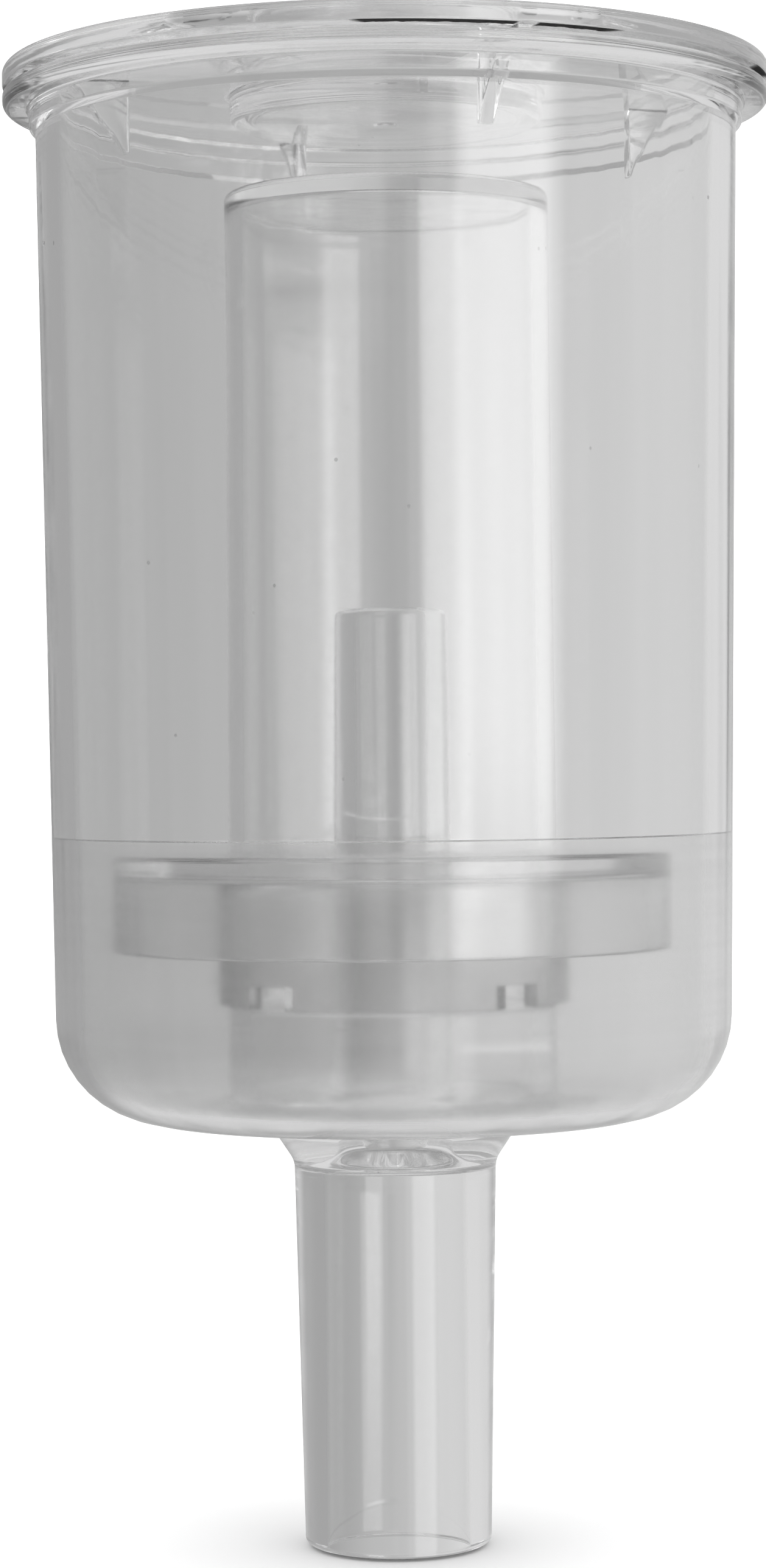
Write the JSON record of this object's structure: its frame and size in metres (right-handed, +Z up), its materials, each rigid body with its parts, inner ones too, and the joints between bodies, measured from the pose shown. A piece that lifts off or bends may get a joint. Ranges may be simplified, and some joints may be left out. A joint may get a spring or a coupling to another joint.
{
  "type": "three-piece bubbling airlock",
  "caption": "Clear bubbling airlock: round cup with a tapered stem and a riser tube, a loose bell float inside, and a vented lid that lifts off.",
  "frame": {"origin": "centre of the stem's tip, on the axis", "axes": "+Z up along the axis from the stem's tip to the lid; +X to the right and +Y away from the viewer"},
  "size_m": [0.0484, 0.0484, 0.0934],
  "materials": {
    "clear_body": "clear, polished moulded polystyrene",
    "clear_float": "clear moulded polystyrene with fine draw lines",
    "clear_lid": "clear, polished moulded polystyrene"
  },
  "bodies": {
    "cup": {"airlock_body": "clear_body"},
    "float": {"float_bell": "clear_float"},
    "lid": {"vent_lid": "clear_lid"}
  },
  "joints": [
    {"name": "float_lift", "type": "slide", "parent": "cup", "child": "float", "axis": [0, 0, 1], "range_m": [0, 0.0041]},
    {"name": "lid_lift", "type": "slide", "parent": "cup", "child": "lid", "axis": [0, 0, 1], "range_m": [0, 0.03]}
  ]
}
